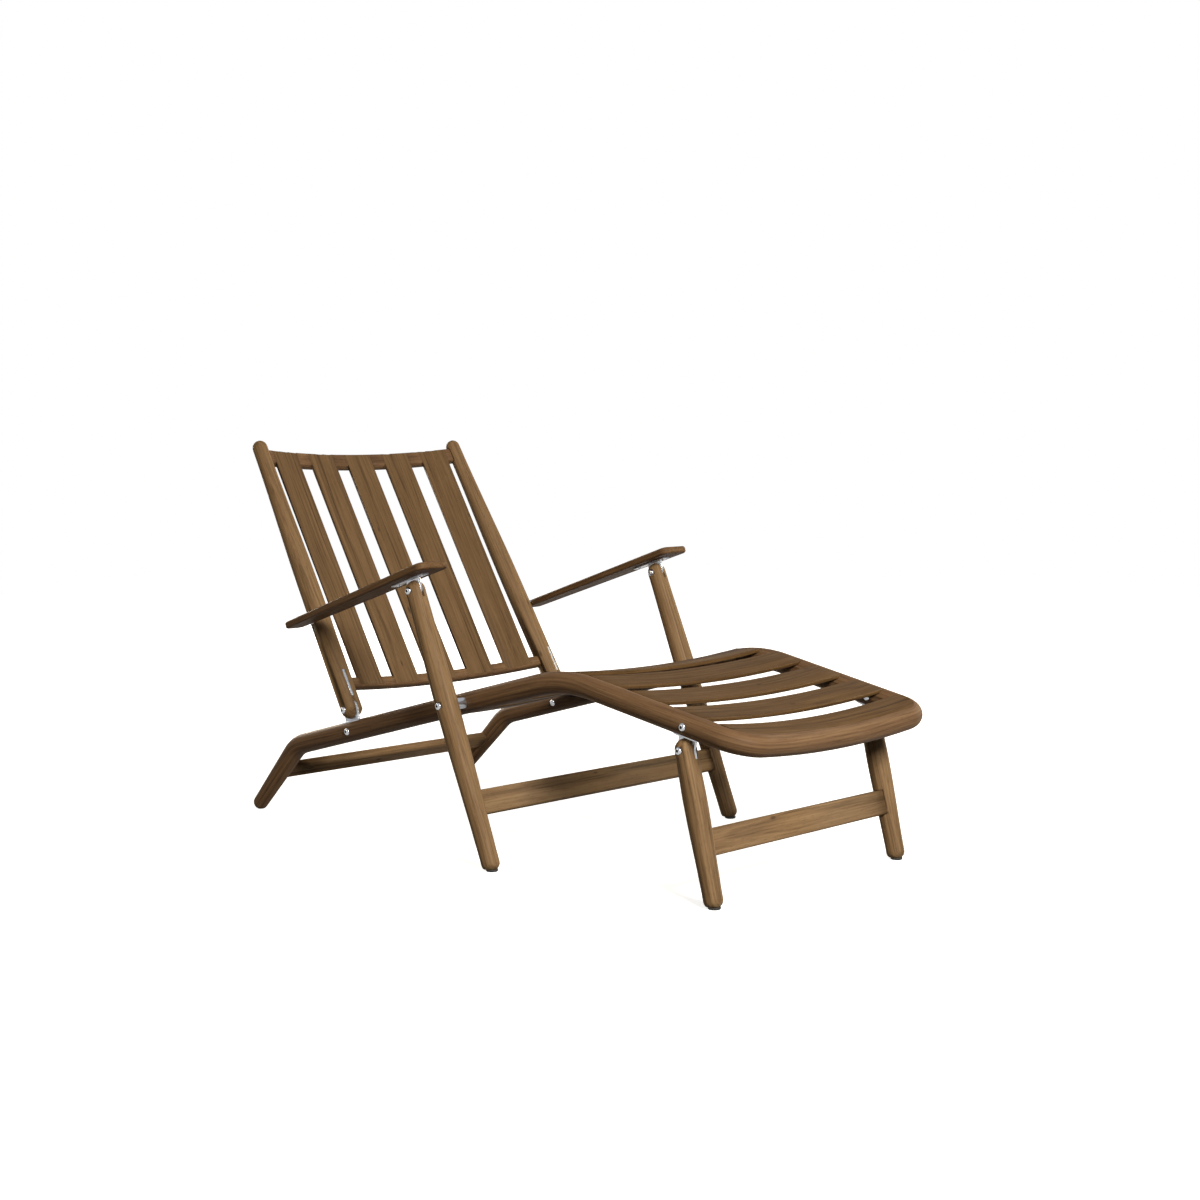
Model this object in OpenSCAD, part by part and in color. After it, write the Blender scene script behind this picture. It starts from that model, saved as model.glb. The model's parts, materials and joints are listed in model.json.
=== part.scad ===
// Folding teak chaise longue. Two bent side rails carry a slatted seat and leg rest.
// The back, the arms and the front legs are one folding linkage of four pivots a side,
// and the pair of legs at the foot end folds up under the leg rest by itself.
// Millimetres. X is the width, the foot end lies toward -Y, Z is up from the floor.

/* [Side rails] */
// Diameter of the round side rails
rail_d = 40; // [38:0.5:41]
// Half the spacing of the rails' axes at the front leg pivots
rail_half = 272; // [260:1:276]
// Angle by which each rail closes in toward the foot end
rail_toe = 1.8; // [1.2:0.1:2]
// Height of the front leg pivots above the floor
pivot_h = 289; // [280:1:300]
// Slope of the seat down to the back
seat_slope = 15; // [13:0.5:16]
// Distance along the rail from the front leg pivot to the knee
seat_front = 250; // [240:1:270]
// Distance along the rail from the front leg pivot to the elbow over the rear leg
seat_back = 528; // [515:1:540]
// Slope of the leg rest down from the knee
foot_slope = 10.8; // [9:0.2:12]
// Distance along the rail from the knee to the axis of the foot end rail
foot_len = 405; // [400:1:412]
// Slope of the rear legs
rear_leg_slope = 44.6; // [42:0.1:50]
// Angle by which the elbow's bend is turned inward, so that the rear legs close in
elbow_tilt = 6; // [4:0.5:7]
// Diameter of the rear legs at the floor
rear_foot_d = 31; // [29:0.5:36]
// Bending radius of the rails at the knee
knee_r = 300; // [240:5:320]
// Bending radius of the rails at the elbow
elbow_r = 90; // [70:5:110]

/* [Foot end rail] */
// Bending radius of its corners, seen from above
corner_r = 50; // [46:1:56]
// Angle at which each corner dips toward the middle
dip_angle = 5.8; // [5:0.1:6.4]
// Diameter of the tenons that join it to the side rails
tenon_d = 18; // [14:1:22]
// Length of those tenons
tenon_len = 24; // [16:1:30]

/* [Seat slats] */
// Number of slats
slat_count = 10; // [9:1:10]
// Width of a slat
slat_w = 69; // [64:1:70]
// Width of the first slat, which is let into the foot end rail
first_slat_w = 61; // [52:1:64]
// Gap between slats
slat_gap = 29.5; // [26:0.5:30]
// Radius of the hollow across the seat
seat_bow_r = 2750; // [2200:50:3500]
// Thickness of a slat
slat_t = 7.5; // [7.5:0.5:12]
// How far inside the rail's crest a slat ends
slat_inset = 4; // [2:0.5:6]
// Rounding of a slat's long edges
slat_round = 2.5; // [1:0.5:3.5]

/* [Back] */
// Distance along the rail from the front leg pivot to the back hinge
back_at = 344; // [340:1:360]
// Height of the back hinge over the rail's axis
back_hinge_h = 43; // [43:0.5:46]
// Lean of the back from upright
back_lean = 31.6; // [28:0.2:34]
// Length of a stile from its hinge to the centre of its domed top
stile_len = 603; // [560:1:640]
// Diameter of a stile along its lower half
stile_d = 42; // [40:0.5:42]
// Diameter of a stile at its top
stile_top_d = 31; // [29:0.5:36]
// How far the stiles' axes lie inside the middle of their hinge plates
stile_in = 1.4; // [0:0.1:3]
// Angle by which each stile closes in toward the top
stile_splay = 1.5; // [1:0.1:2]
// Radius of the hollow across the back, at the front of its slats
back_bow_r = 1375; // [1200:25:1800]
// How far the middle of the hollow lies behind the stiles' axes
back_hollow = 21; // [18:1:24]
// Number of back slats
back_slat_count = 5; // [4:1:5]
// Width of a back slat
back_slat_w = 67; // [60:1:72]
// Gap between an outer back slat and the top of its stile
back_side_gap = 13; // [8:0.5:14]
// Thickness of a back slat
back_slat_t = 5.5; // [5:0.5:9]
// Thickness of the top and bottom rails of the back
back_rail_t = 20; // [18:0.5:22]
// Height of the bottom rail
bottom_rail_h = 24.5; // [22:0.5:34]
// Height of the top rail
top_rail_h = 34; // [30:1:38]
// Distance from the hinge to the underside of the bottom rail
bottom_rail_at = 44.5; // [40:0.5:50]
// Distance from the domes' centres down to the top rail's upper edge
top_rail_drop = 2.5; // [1:0.5:12]
// How far the slats stop short of the bottom rail's lower edge
slat_foot_margin = 6.5; // [5:0.5:12]
// How far the slats stop short of the top rail's upper edge
slat_head_margin = 4; // [2:1:8]

/* [Front legs] */
// Gap between a front leg and its side rail, filled by the spacer
leg_gap = 16.5; // [15.5:0.5:20]
// Lean of the front legs, tops to the rear
leg_lean = 22.8; // [20:0.2:24]
// Distance from the rail pivot up to the arm pivot
leg_upper = 223; // [215:1:240]
// Largest diameter of a front leg, at the rail pivot
leg_d = 43; // [40:0.5:44]
// Diameter at the top
leg_top_d = 37; // [35:0.5:39]
// Diameter at the foot
leg_foot_d = 34; // [32:0.5:38]
// Height of the front stretcher's middle above the floor
stretcher_h = 116; // [100:1:119]

/* [Foot legs] */
// Distance along the rail from the knee to the foot leg hinge
foot_hinge_at = 291; // [280:1:300]
// Distance of that hinge below the rail's axis
foot_hinge_h = 41; // [41:0.5:44]
// How far the foot legs' axes lie outside the middle of their hinge plates
foot_leg_out = 1.6; // [0:0.1:3]
// Lean of the foot legs, feet toward the foot end
foot_leg_lean = 14.2; // [10:0.2:18]
// Largest diameter of a foot leg
foot_leg_d = 41; // [39:0.5:42]
// Diameter at its top
foot_leg_top_d = 38; // [37:0.5:39]
// Diameter at its foot
foot_leg_foot_d = 34; // [32:0.5:38]
// Height of the foot stretcher's middle above the floor
foot_stretcher_h = 105; // [90:1:130]

/* [Stretchers] */
// Width of the front and foot stretcher boards
stretcher_w = 45.5; // [40:0.5:50]
// Thickness of the stretcher boards
stretcher_t = 20; // [16:1:22]
// Width of the rear stretcher
rear_stretcher_w = 38; // [26:1:40]
// Height of the rear stretcher's middle above the floor
rear_stretcher_h = 91; // [85:1:110]
// How deep the stretchers are housed in the legs
housing = 10; // [6:1:14]

/* [Arms] */
// Slope of the arms down to the rear
arm_slope = 18.1; // [16:0.1:20]
// Thickness of an arm
arm_t = 14; // [12:0.5:18]
// Height of an arm's underside over its pivot
arm_rise = 24; // [24:0.5:30]
// How far an arm runs in front of its pivot
arm_front = 68; // [60:1:80]
// How far an arm runs behind its pivot
arm_back = 392; // [385:1:420]
// Width of an arm at its front
arm_front_w = 74; // [66:1:78]
// Width of an arm at its rear
arm_rear_w = 45; // [40:1:48]
// Radius of an arm's corners
arm_corner_r = 14; // [8:1:18]

/* [Hardware] */
// Thickness of the hinge plates
plate_t = 5; // [4:0.5:6]
// Thickness of the plates' flanges
flange_t = 3; // [2:0.5:3.5]
// Width of the flanges
flange_w = 18; // [14:1:18.5]
// Length of the flanges on the rails
flange_len = 58; // [44:1:60]
// Diameter of the bolts' shanks
bolt_d = 8; // [6:0.5:8]
// Diameter of the bolts' heads
head_d = 14; // [12:0.5:14.5]
// Height of the bolts' heads
head_h = 5; // [4:0.25:5.5]
// Diameter of the spacers between the front legs and the rails
spacer_d = 20.6; // [18:0.2:22]
// Running clearance round a pivot, on the radius
pivot_fit = 0.06; // [0.03:0.01:0.1]
// Diameter of the rubber glides
glide_d = 22; // [18:1:23]
// Thickness of the rubber glides
glide_h = 4; // [3:0.5:5]

/* [Hidden] */
$fn = 96;
seam = 0.05;              // glue line and let-in clearance
lap = 0.5;                // how far a straight run reaches into the bend it continues
bend_d = rail_d + 0.2;    // a bend is a hair thicker, so that it takes in the runs' ends
running = 0.3;            // side clearance of a moving face
rail_r = rail_d / 2;
stile_r = stile_d / 2;
pivot_r = bolt_d / 2;
plate_slot = plate_t + 2 * running;
flat_n = rail_r - flange_t + 0.5;   // flat on a rail under a flange, above its axis
head_seat = head_d / 2 + 0.2;       // radius of the spot face under a head

// A unit vector in the side view, from an angle above +Y
function side_dir(a) = [cos(a), sin(a)];
// Depth at which a head's spot face lies in a round bar of radius r
function face_at(r) = sqrt(r * r - head_seat * head_seat) - 0.1;
// Half spacing of the rails' axes at place y
function rail_x(y) = rail_half + y * tan(rail_toe);
// A place or a slope drawn in a rail's plane, as the middle plane shows it
function mid(p) = [p[0] * cos(rail_toe), p[1]];
function mid_slope(a) = atan(tan(a) / cos(rail_toe));

// Side view of a rail, as [y, z] from the front leg pivot
knee = -seat_front * side_dir(-seat_slope);
elbow = seat_back * side_dir(-seat_slope);
foot_end = knee - foot_len * side_dir(foot_slope);
knee_turn = foot_slope + seat_slope;
elbow_turn = rear_leg_slope - seat_slope;
knee_tangent = knee_r * tan(knee_turn / 2);
elbow_tangent = elbow_r * tan(elbow_turn / 2);
elbow_start = elbow - elbow_tangent * side_dir(-seat_slope);
rear_foot_r = rear_foot_d / 2;
rear_dome_z = rear_foot_r - 1.5;     // height of the centre of a rear foot's dome

// The rear legs leave the rail's plane: u runs on along the seat, v away from it
function rear_u(l) = elbow_r * sin(elbow_turn) + l * cos(elbow_turn);
function rear_v(l) = elbow_r * (1 - cos(elbow_turn)) + l * sin(elbow_turn);
function rear_side(l) = elbow_start + rear_u(l) * side_dir(-seat_slope)
    - rear_v(l) * cos(elbow_tilt) * side_dir(90 - seat_slope);
// Distance down the rear leg at which its axis is at height h
function rear_len(h) = (pivot_h + rear_side(0)[1] - h)
    / (cos(elbow_turn) * sin(seat_slope) + sin(elbow_turn) * cos(elbow_tilt) * cos(seat_slope));
// Place of the rear leg's axis l below the bend, as [x, y]
function rear_place(l) = let (y = rear_side(l)[0], in = rear_v(l) * sin(elbow_tilt))
    [rail_half + y * sin(rail_toe) - in * cos(rail_toe), y * cos(rail_toe) + in * sin(rail_toe)];
rear_leg_len = rear_len(rear_dome_z);

// Stations along the rail, from the foot end rail's axis
knee_start = foot_len - knee_tangent;
knee_end = knee_start + knee_r * knee_turn * PI / 180;
// Slope of the rail at station s
function slope_at(s) =
    s < knee_start ? foot_slope :
    s < knee_end ? foot_slope - (s - knee_start) / knee_r * 180 / PI :
    -seat_slope;
// Centre of the knee bend
knee_centre = knee - knee_tangent * side_dir(foot_slope) + knee_r * side_dir(foot_slope - 90);
// Place of the rail's axis at station s, in the rail's plane
function axis_at(s) =
    s < knee_start ? foot_end + s * side_dir(foot_slope) :
    s < knee_end ? knee_centre + knee_r * side_dir(slope_at(s) + 90) :
    knee + (s - knee_end + knee_tangent) * side_dir(-seat_slope);

// Hinges in the middle plane, as [y, z] from the front leg pivot
back_seat = mid(back_at * side_dir(-seat_slope));
foot_seat = mid(knee - foot_hinge_at * side_dir(foot_slope));
back_pivot = back_seat + back_hinge_h * side_dir(90 - seat_slope);
foot_pivot = foot_seat - foot_hinge_h * side_dir(90 + foot_slope);
arm_pivot = leg_upper * side_dir(90 - leg_lean);
leg_lower = pivot_h / cos(leg_lean);
foot_leg_len = (pivot_h + foot_pivot[1]) / cos(foot_leg_lean);

// The plates stand over the rails' axes
back_plate_x = rail_x(back_seat[0]);
foot_plate_x = rail_x(foot_seat[0]);
stile_half = back_plate_x - stile_in;
foot_leg_half = foot_plate_x + foot_leg_out;
leg_half = rail_half + rail_r + leg_gap + leg_d / 2;

// The whole thing is centred along Y between the foot end rail and the stiles' tops
stile_rise = stile_len * cos(stile_splay);
rear_most = back_pivot[0] + stile_rise * sin(back_lean) + stile_top_d / 2;
front_most = mid(foot_end)[0] + corner_r * sin(dip_angle) * sin(foot_slope) - rail_r;
y0 = -(rear_most + front_most) / 2;

// Foot end rail, in the plane of the leg rest: a corner bend on each side rail's line that
// dips inward, and between the two bends a shallow arc
end_x = rail_x(mid(foot_end)[0]);
end_toe = asin(sin(rail_toe) * cos(foot_slope));
corner_turn = 90 - atan(tan(end_toe) * cos(dip_angle));
corner_in = corner_r * (1 - cos(corner_turn));
corner_run = corner_r * sin(corner_turn);
corner_y = corner_run * cos(end_toe) - corner_in * sin(end_toe) * cos(dip_angle);
corner_start = [end_x + corner_y * tan(end_toe), corner_y, 0];
cross_x = corner_start[0] - corner_in * cos(end_toe) * cos(dip_angle) - corner_run * sin(end_toe);
cross_dip = atan2(sin(corner_turn) * sin(dip_angle),
    cos(corner_turn) * sin(end_toe) + sin(corner_turn) * cos(end_toe) * cos(dip_angle));
dip_r = cross_x / sin(cross_dip);
dip_centre = dip_r * cos(cross_dip) - corner_in * sin(dip_angle);
dip_half = cross_dip + lap / dip_r * 180 / PI;
joint_s = corner_y / cos(end_toe) + 6;   // station of the joint with a side rail

// Seat slats
slat_pitch = slat_w + slat_gap;
function slat_width(i) = i == 0 ? first_slat_w : slat_w;
function slat_s(i) = first_slat_w - slat_width(i) / 2 + i * slat_pitch;
function slat_top_r(i) = i == 0 ? dip_r - rail_r : seat_bow_r;
// On the bend a flat slat sits low enough for its edges to meet the rail's curve
function slat_sink(i) = slope_at(slat_s(i)) == foot_slope || slope_at(slat_s(i)) == -seat_slope
    ? 0 : slat_w * slat_w / 16 / (knee_r + rail_r);
function slat_end_x(i) = rail_x(mid(axis_at(slat_s(i)))[0]) - slat_inset;
function slat_angle(i) = asin(slat_end_x(i) / slat_top_r(i));

// Back, in its own frame: z up along the back from the hinge, y to the rear
bow_centre = back_hollow - back_bow_r;
back_room = stile_half - stile_rise * tan(stile_splay) - stile_top_d / 2;   // half of it, at the top
back_slat_gap = (2 * (back_room - back_side_gap) - back_slat_count * back_slat_w) / (back_slat_count - 1);
back_slat_pitch = back_slat_w + back_slat_gap;
slat_foot_z = bottom_rail_at + slat_foot_margin;
top_rail_z = stile_rise - top_rail_drop - top_rail_h;
slat_head_z = top_rail_z + top_rail_h - slat_head_margin;
stop_top_z = 79;                     // upper end of the stile's slot
stile_dome = 19;                     // length of a stile's lower dome below the hinge
back_tongue = sqrt(stile_r * stile_r - plate_t * plate_t / 4) - 0.4;
stop_z = back_tongue + running;      // underside of the stop plate above the hinge
arm_link = stile_link();
// Distance along the stile to the arm pivot, where the stile crosses the arm's middle
function stile_link() =
    let (n = arm_rise + arm_t / 2,
         d = back_pivot - arm_pivot,
         up = side_dir(90 - back_lean),
         across = side_dir(90 - arm_slope))
    (n - d[0] * across[0] - d[1] * across[1]) / (up[0] * across[0] + up[1] * across[1]);
// The arm pivot on the stile, in the arm's frame
link_y = let (d = back_pivot + arm_link * side_dir(90 - back_lean) - arm_pivot)
    d[0] * cos(arm_slope) - d[1] * sin(arm_slope);
function arm_half(y) = arm_front_w / 2
    - (y + arm_front) / (arm_front + arm_back) * (arm_front_w - arm_rear_w) / 2;
link_gap = 0.5;                      // clearance between the link pin and the arm
leg_top_r = leg_top_d / 2;
leg_dome = 19;                       // length of a front leg's dome above the arm pivot
leg_slot_z = 18;                     // depth of its slot below the arm pivot
leg_tongue = sqrt(leg_top_r * leg_top_r - plate_t * plate_t / 4) - 0.5;
foot_top_r = foot_leg_top_d / 2;
foot_dome = 19;
foot_tongue = sqrt(foot_top_r * foot_top_r - plate_t * plate_t / 4) - 0.2;
foot_cap = 14;                       // length of the rounded end at a leg's foot
spacer_in = 3;                       // how deep a spacer sits in the rail and in the leg

// Frames of reference

// From the front leg pivot's height to the floor frame
module place() translate([0, y0, pivot_h]) children();

// The vertical plane of one rail, with x across it and y, z as in the side view
module rail_plane(side) translate([side * rail_half, 0, 0]) rotate([0, 0, -side * rail_toe]) children();

// The plane of the leg rest, with y up along it from the foot end rail's axis
module foot_frame() hinge_frame(mid(foot_end), mid_slope(foot_slope)) children();

// The seat's plane at station s along the rails
module seat_frame_at(s) hinge_frame(mid(axis_at(s)), mid_slope(slope_at(s))) children();

// A frame at a hinge in the side view, turned by a from level
module hinge_frame(p, a) translate([0, p[0], p[1]]) rotate([a, 0, 0]) children();

module back_frame() hinge_frame(back_pivot, -back_lean) children();
module stile_frame(side) back_frame() translate([side * stile_half, 0, 0]) rotate([0, -side * stile_splay, 0]) children();
module leg_frame() rotate([-leg_lean, 0, 0]) children();
module arm_frame(side) hinge_frame(arm_pivot, -arm_slope) translate([side * leg_half, 0, 0]) children();
module foot_leg_frame() hinge_frame(foot_pivot, -foot_leg_lean) children();

// Shapes

// A side view drawing in y and z, t thick across x
module plate(t) rotate([90, 0, 90]) linear_extrude(t, center = true) children();

// A round bar along x, from x1 to x2
module bar_x(d, x1, x2) translate([x1, 0, 0]) rotate([0, 90, 0]) cylinder(d = d, h = x2 - x1);

// A round bar in the side view, from point p, at angle a above y, len long
module rod(p, a, len, d) translate([0, p[0], p[1]]) rotate([a - 90, 0, 0]) cylinder(d = d, h = len);

// The same between two bends, reaching a little into each
module run(p, a, len) rod(p - lap * side_dir(a), a, len + 2 * lap, rail_d);

// A bend of the rail that turns down by turn degrees at the corner point
module bend(corner, a, turn, r) {
    start = corner - r * tan(turn / 2) * side_dir(a);
    centre = start + r * side_dir(a - 90);
    translate([0, centre[0], centre[1]])
        rotate([90, 0, 90]) rotate([0, 0, a + 90 - turn])
            rotate_extrude(angle = turn) translate([r, 0]) circle(d = bend_d);
}

module rounded_rect(w, h, r) {
    square([w - 2 * r, h], center = true);
    square([w, h - 2 * r], center = true);
    for (x = [-1, 1], y = [-1, 1]) translate([x * (w / 2 - r), y * (h / 2 - r)]) circle(r);
}

// Half profile of a turned leg: a dome at the top, a slow swell, a rounded foot
function swell(t) = t * t * (3 - 2 * t);
function leg_profile(r_top, r_mid, r_foot, top, mid, foot, dome, cap) = concat(
    [[0, top + dome]],
    [for (k = [1 : 6]) [r_top * sin(k * 15), top + dome * cos(k * 15)]],
    [for (k = [1 : 8]) let (t = k / 8) [r_top + (r_mid - r_top) * swell(t), top + (mid - top) * t]],
    [for (k = [1 : 8]) let (t = k / 8) [r_mid + (r_foot - r_mid) * swell(t), mid + (foot + cap - mid) * t]],
    [for (k = [1 : 5]) [r_foot * cos(k * 18), foot + cap - cap * sin(k * 18)]]);

module turned(points) rotate_extrude() polygon(points);

// A bolt along +x with its head's seat at x = 0 and its shank toward -x
module bolt(len) difference() {
    union() {
        rotate([0, 90, 0]) rotate_extrude() polygon(concat(
            [[0, 0], [head_d / 2, 0]],
            [for (k = [0 : 4]) let (a = k * 15)
                [head_d / 2 * cos(a), 0.8 + (head_h - 0.8) * sin(a) / sin(60)]],
            [[0, head_h]]));
        bar_x(bolt_d, -len, 0.01);
    }
    translate([head_h - 2.6, 0, 0]) rotate([0, 90, 0]) cylinder(d = 5.8, h = 4, $fn = 6);
}

// A cap nut along +x with its seat at x = 0, bored for the end of a shank
module cap_nut(depth) difference() {
    rotate([0, 90, 0]) rotate_extrude() polygon(concat(
        [[0, 0], [head_d / 2, 0]],
        [for (k = [0 : 4]) let (a = k * 15)
            [head_d / 2 * cos(a), 0.8 + (head_h - 0.8) * sin(a) / sin(60)]],
        [[0, head_h]]));
    bar_x(bolt_d + 2 * seam, -1, depth + seam);
}

// The hole and the two spot faces that a bolt needs in a round bar of radius r
module bolt_cut(r, fit) {
    bar_x(bolt_d + 2 * fit, -2 * r, 2 * r);
    bar_x(2 * head_seat, face_at(r), 2 * r);
    bar_x(2 * head_seat, -2 * r, -face_at(r));
}

nut_grip = 2.8;                      // how far a shank enters its cap nut

// A bolt and its cap nut across a bar of radius r, head outward
module bolt_in(side, r) translate([side * face_at(r), 0, 0]) scale_x(side) bolt(2 * face_at(r) + nut_grip);
module nut_in(side, r) translate([-side * face_at(r), 0, 0]) scale_x(-side) cap_nut(nut_grip);
module scale_x(side) if (side > 0) children(); else mirror([1, 0, 0]) children();

// A glide under a foot whose axis meets the floor at y
module glide(x, y) translate([x, y, 0]) rotate_extrude()
    polygon([[0, 0], [glide_d / 2 - 1, 0], [glide_d / 2, 1], [glide_d / 2, glide_h], [0, glide_h]]);

// The floor cut above the glides, in the pivot's frame
module floor_cut() translate([-500, -1000, -pivot_h - 100]) cube([1000, 2000, 100 + glide_h]);

// Seat

// The outline of the leg rest's end, grown by g, through the rail's crests
module end_outline(g) {
    translate([-cross_x, -g]) square([2 * cross_x, 2 * slat_w]);
    translate([-end_x, corner_y]) square([2 * end_x, 2 * slat_w]);
    for (x = [-1, 1]) translate([x * (corner_start[0] - corner_r * cos(end_toe)), corner_y])
        circle(corner_r + g);
}

// One slat as a band of the dip's hollow, grown by g on every side but the top
module slat_band(i, g, over) {
    top = slat_top_r(i);
    centre = rail_r - slat_sink(i) + sqrt(top * top - slat_end_x(i) * slat_end_x(i));
    r = slat_round;
    w = slat_width(i) + 2 * g;
    translate([0, 0, centre]) rotate([90, 0, 0]) rotate([0, 0, 269 - slat_angle(i)])
        rotate_extrude(angle = 2 * slat_angle(i) + 2, $fn = 360)
            translate([top - over + (slat_t + over + g) / 2, 0])
                rounded_rect(slat_t + over + g, w, over > 0 || g > 0 ? 0.01 : r, $fn = 32);
}

module seat_slat(i) color("#6f5537") place() difference() {
    if (i == 0) intersection() {
        seat_frame_at(slat_s(i)) slat_band(i, 0, 0);
        foot_frame() translate([0, 0, -60]) linear_extrude(120) end_outline(-seam);
    }
    else seat_frame_at(slat_s(i)) slat_band(i, 0, 0);
    for (side = [-1, 1]) seat_frame_at(slat_s(i)) scale_x(side)
        translate([slat_end_x(i), -100, -100]) cube([200, 200, 200]);
}

// The let-in for one slat's end in a side rail, square to the slat
module slat_notch(i, side) seat_frame_at(slat_s(i)) scale_x(side)
    translate([slat_end_x(i), 0, rail_r - slat_sink(i)]) rotate([0, -slat_angle(i), 0])
        translate([-60, -slat_width(i) / 2 - seam, -slat_t - seam])
            cube([60 + seam, slat_width(i) + 2 * seam, 40]);

module hinge_tang_cut(p, a, up) hinge_frame(p, a) {
    plate(plate_t + 2 * seam) translate([-12 - seam, -13 - seam]) square([24 + 2 * seam, 60]);
    translate([-30, -flange_len / 2 - seam, flat_n]) cube([60, flange_len + 2 * seam, 30]);
}

// The elbow and the tapered rear leg, in the elbow's own plane
module rear_leg(side) {
    r = rear_foot_r - 0.1;
    hinge_frame(elbow_start, -seat_slope) rotate([0, side * elbow_tilt, 0]) {
        bend([elbow_tangent, 0], 0, elbow_turn, elbow_r);
        translate([0, rear_u(0), -rear_v(0)]) rotate([-90 - elbow_turn, 0, 0]) {
            translate([0, 0, -lap]) cylinder(r1 = rail_r, r2 = rear_foot_r, h = rear_leg_len + lap);
            translate([0, 0, rear_leg_len]) turned(concat([[0, -1], [r, -1]],
                [for (k = [0 : 5]) [r * cos(k * 15), r * sin(k * 15)]], [[0, r]]));
        }
    }
}

module side_rail(side) color("#7a5c3c") place() difference() {
    rail_plane(side) {
        rod(foot_end + joint_s * side_dir(foot_slope), foot_slope, knee_start - joint_s + lap, rail_d);
        bend(knee, foot_slope, knee_turn, knee_r);
        run(knee + knee_tangent * side_dir(-seat_slope), -seat_slope,
            seat_front + seat_back - knee_tangent - elbow_tangent);
        rear_leg(side);
    }
    translate([0, 0, -glide_h]) floor_cut();
    for (i = [0 : slat_count - 1]) slat_notch(i, side);
    rail_plane(side)
        rod(foot_end + (joint_s - 1) * side_dir(foot_slope), foot_slope, tenon_len + 1 + seam, tenon_d + 2 * seam);
    rail_bracket_cuts(side);
    // Front leg pivot, with the pocket for its spacer
    translate([side * rail_half, 0, 0]) {
        bar_x(bolt_d + 2 * pivot_fit, -2 * rail_r, 2 * rail_r);
        scale_x(side) bar_x(spacer_d + 2 * pivot_fit, rail_r - spacer_in, 2 * rail_r);
        scale_x(side) bar_x(2 * head_seat, -2 * rail_r, -face_at(rail_r));
    }
    rear_stretcher_board(seam);
}

// Slots, flats and bolt holes for the hinge plates of one rail
module rail_bracket_cuts(side) {
    translate([side * back_plate_x, 0, 0]) {
        hinge_tang_cut(back_seat, -seat_slope);
        hinge_frame(back_seat, 0) bolt_cut(rail_r, seam);
    }
    translate([side * foot_plate_x, 0, 0]) {
        hinge_tang_cut(foot_seat, foot_slope + 180);
        hinge_frame(foot_seat, 0) bolt_cut(rail_r, seam);
    }
}

module foot_end_rail() color("#7a5c3c") place() foot_frame() difference() {
    union() {
        for (side = [-1, 1]) scale_x(side) translate(corner_start) {
            rotate([0, -dip_angle, -end_toe]) translate([-corner_r, 0, 0]) rotate([0, 0, -corner_turn])
                rotate_extrude(angle = corner_turn) translate([corner_r, 0]) circle(d = bend_d);
            rotate([-90, 0, -end_toe]) translate([0, 0, -lap]) {
                cylinder(d = rail_d, h = 6 + lap - seam);
                cylinder(d = tenon_d, h = 6 + lap + tenon_len - 1);
            }
        }
        translate([0, 0, dip_centre]) rotate([90, 0, 0]) rotate([0, 0, 270 - dip_half])
            rotate_extrude(angle = 2 * dip_half, $fn = 360) translate([dip_r, 0]) circle(d = rail_d, $fn = 96);
    }
    intersection() {
        translate([0, slat_s(0), 0]) slat_band(0, seam, 20);
        translate([0, 0, -60]) linear_extrude(120) end_outline(0);
    }
}

module rear_stretcher_board(g) {
    p = rear_place(rear_len(rear_stretcher_h));
    half = p[0] - rail_r + housing;
    translate([-half - g, p[1], rear_stretcher_h - pivot_h]) rotate([-rear_leg_slope, 0, 0])
        rotate([0, 90, 0]) rotate([0, 0, 90]) linear_extrude(2 * half + 2 * g)
            rounded_rect(rear_stretcher_w + 2 * g, stretcher_t + 2 * g, 7);
}

module rear_stretcher() color("#7a5c3c") place() rear_stretcher_board(0);

// Hinge plates, drawn with the rail's axis at the origin and the pivot above it

module flange_drawing(len, n) polygon([[-len / 2, n], [len / 2, n], [len / 2, n + 1],
    [len / 2 - 8, n + flange_t], [-len / 2 + 8, n + flange_t], [-len / 2, n + 1]]);

module tang_drawing() translate([-12, -13]) square([24, 13 + flat_n]);

// The back's plate: a block up to the pivot, and a tongue along the stile with a square
// rear corner that meets the stop plate
module back_plate_drawing() difference() {
    union() {
        tang_drawing();
        translate([-back_tongue, flat_n]) square([2 * back_tongue, back_hinge_h - flat_n]);
        translate([0, back_hinge_h]) rotate(seat_slope - back_lean) {
            circle(back_tongue);
            intersection() {
                circle(stop_z);
                translate([-back_tongue, 0]) square([back_tongue, stop_z]);
            }
            square([back_tongue, stop_z]);
        }
    }
    translate([0, back_hinge_h]) circle(pivot_r + pivot_fit);
    circle(pivot_r + seam);
}

module flange(len) rotate([90, 0, 90]) linear_extrude(flange_w, center = true) flange_drawing(len, flat_n);

module back_hinge_plate(side) color("#c9ccd0") place()
    translate([side * back_plate_x, 0, 0])
        hinge_frame(back_seat, -seat_slope) difference() {
            union() {
                plate(plate_t) back_plate_drawing();
                flange(flange_len);
            }
            hinge_bores(back_hinge_h);
        }

// Bores through a plate and its flange, at the rail bolt and at the pivot
module hinge_bores(h) {
    bar_x(bolt_d + 2 * seam, -20, 20);
    translate([0, 0, h]) bar_x(bolt_d + 2 * pivot_fit, -20, 20);
}

// The foot leg's plate: its tongue ends square on the front half, on the slot's end
module foot_plate_drawing() union() {
    tang_drawing();
    translate([-foot_tongue, flat_n]) square([2 * foot_tongue, foot_hinge_h - flat_n]);
    translate([0, foot_hinge_h]) rotate(-foot_slope - foot_leg_lean) {
        circle(foot_tongue);
        square([foot_tongue, foot_tongue]);
    }
}

module foot_hinge_plate(side) color("#c9ccd0") place()
    translate([side * foot_plate_x, 0, 0])
        hinge_frame(foot_seat, foot_slope + 180) difference() {
            union() {
                plate(plate_t) foot_plate_drawing();
                flange(flange_len);
            }
            hinge_bores(foot_hinge_h);
        }

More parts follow.
